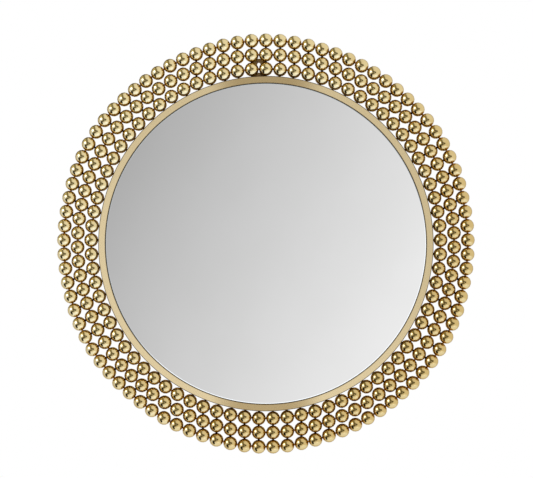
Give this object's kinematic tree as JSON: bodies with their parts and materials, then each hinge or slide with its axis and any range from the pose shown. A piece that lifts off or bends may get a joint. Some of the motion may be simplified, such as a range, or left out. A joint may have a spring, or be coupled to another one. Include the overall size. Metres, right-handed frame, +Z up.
{
  "type": "beaded wall mirror",
  "caption": "Round wall mirror: flat silvered glass in a deep brushed gold rim, ringed by rows of polished gold balls welded to it, with a keyhole plate behind them to hang it by.",
  "frame": {"origin": "centre of the flat back of the board, in the plane of the wall", "axes": "+Z up, +Y into the wall, so the glass faces -Y, and +X to the right as seen from the front"},
  "size_m": [0.7946, 0.0291, 0.7993],
  "materials": {
    "brushed_gold": "steel plated pale gold, brushed round the rim and lacquered",
    "polished_gold": "pressed steel plated pale gold, mirror polished",
    "silvered_glass": "clear float glass silvered on the back, polished arris",
    "fibreboard": "raw medium density fibreboard, sawn edge",
    "mirror_adhesive": "cured cream mastic",
    "zinc_plate": "bright zinc plated screws"
  },
  "bodies": {
    "root": {"rim": "brushed_gold", "mirror_glass": "silvered_glass", "back_board": "fibreboard", "hanger_plate": "brushed_gold", "glue_pad_1": "mirror_adhesive", "glue_pad_2": "mirror_adhesive", "glue_pad_3": "mirror_adhesive", "glue_pad_4": "mirror_adhesive", "glue_pad_5": "mirror_adhesive", "board_tab_1": "brushed_gold", "board_tab_2": "brushed_gold", "board_tab_3": "brushed_gold", "board_tab_4": "brushed_gold", "board_tab_5": "brushed_gold", "board_tab_6": "brushed_gold", "tab_screw_1": "zinc_plate", "tab_screw_2": "zinc_plate", "tab_screw_3": "zinc_plate", "tab_screw_4": "zinc_plate", "tab_screw_5": "zinc_plate", "tab_screw_6": "zinc_plate", "inner_balls_01": "polished_gold", "inner_balls_02": "polished_gold", "inner_balls_03": "polished_gold", "inner_balls_04": "polished_gold", "inner_balls_05": "polished_gold", "inner_balls_06": "polished_gold", "inner_balls_07": "polished_gold", "inner_balls_08": "polished_gold", "inner_balls_09": "polished_gold", "inner_balls_10": "polished_gold", "inner_balls_11": "polished_gold", "inner_balls_12": "polished_gold", "middle_balls_01": "polished_gold", "middle_balls_02": "polished_gold", "middle_balls_03": "polished_gold", "middle_balls_04": "polished_gold", "middle_balls_05": "polished_gold", "middle_balls_06": "polished_gold", "middle_balls_07": "polished_gold", "middle_balls_08": "polished_gold", "middle_balls_09": "polished_gold", "middle_balls_10": "polished_gold", "middle_balls_11": "polished_gold", "middle_balls_12": "polished_gold", "outer_balls_01": "polished_gold", "outer_balls_02": "polished_gold", "outer_balls_03": "polished_gold", "outer_balls_04": "polished_gold", "outer_balls_05": "polished_gold", "outer_balls_06": "polished_gold", "outer_balls_07": "polished_gold", "outer_balls_08": "polished_gold", "outer_balls_09": "polished_gold", "outer_balls_10": "polished_gold", "outer_balls_11": "polished_gold", "outer_balls_12": "polished_gold"}
  },
  "joints": []
}
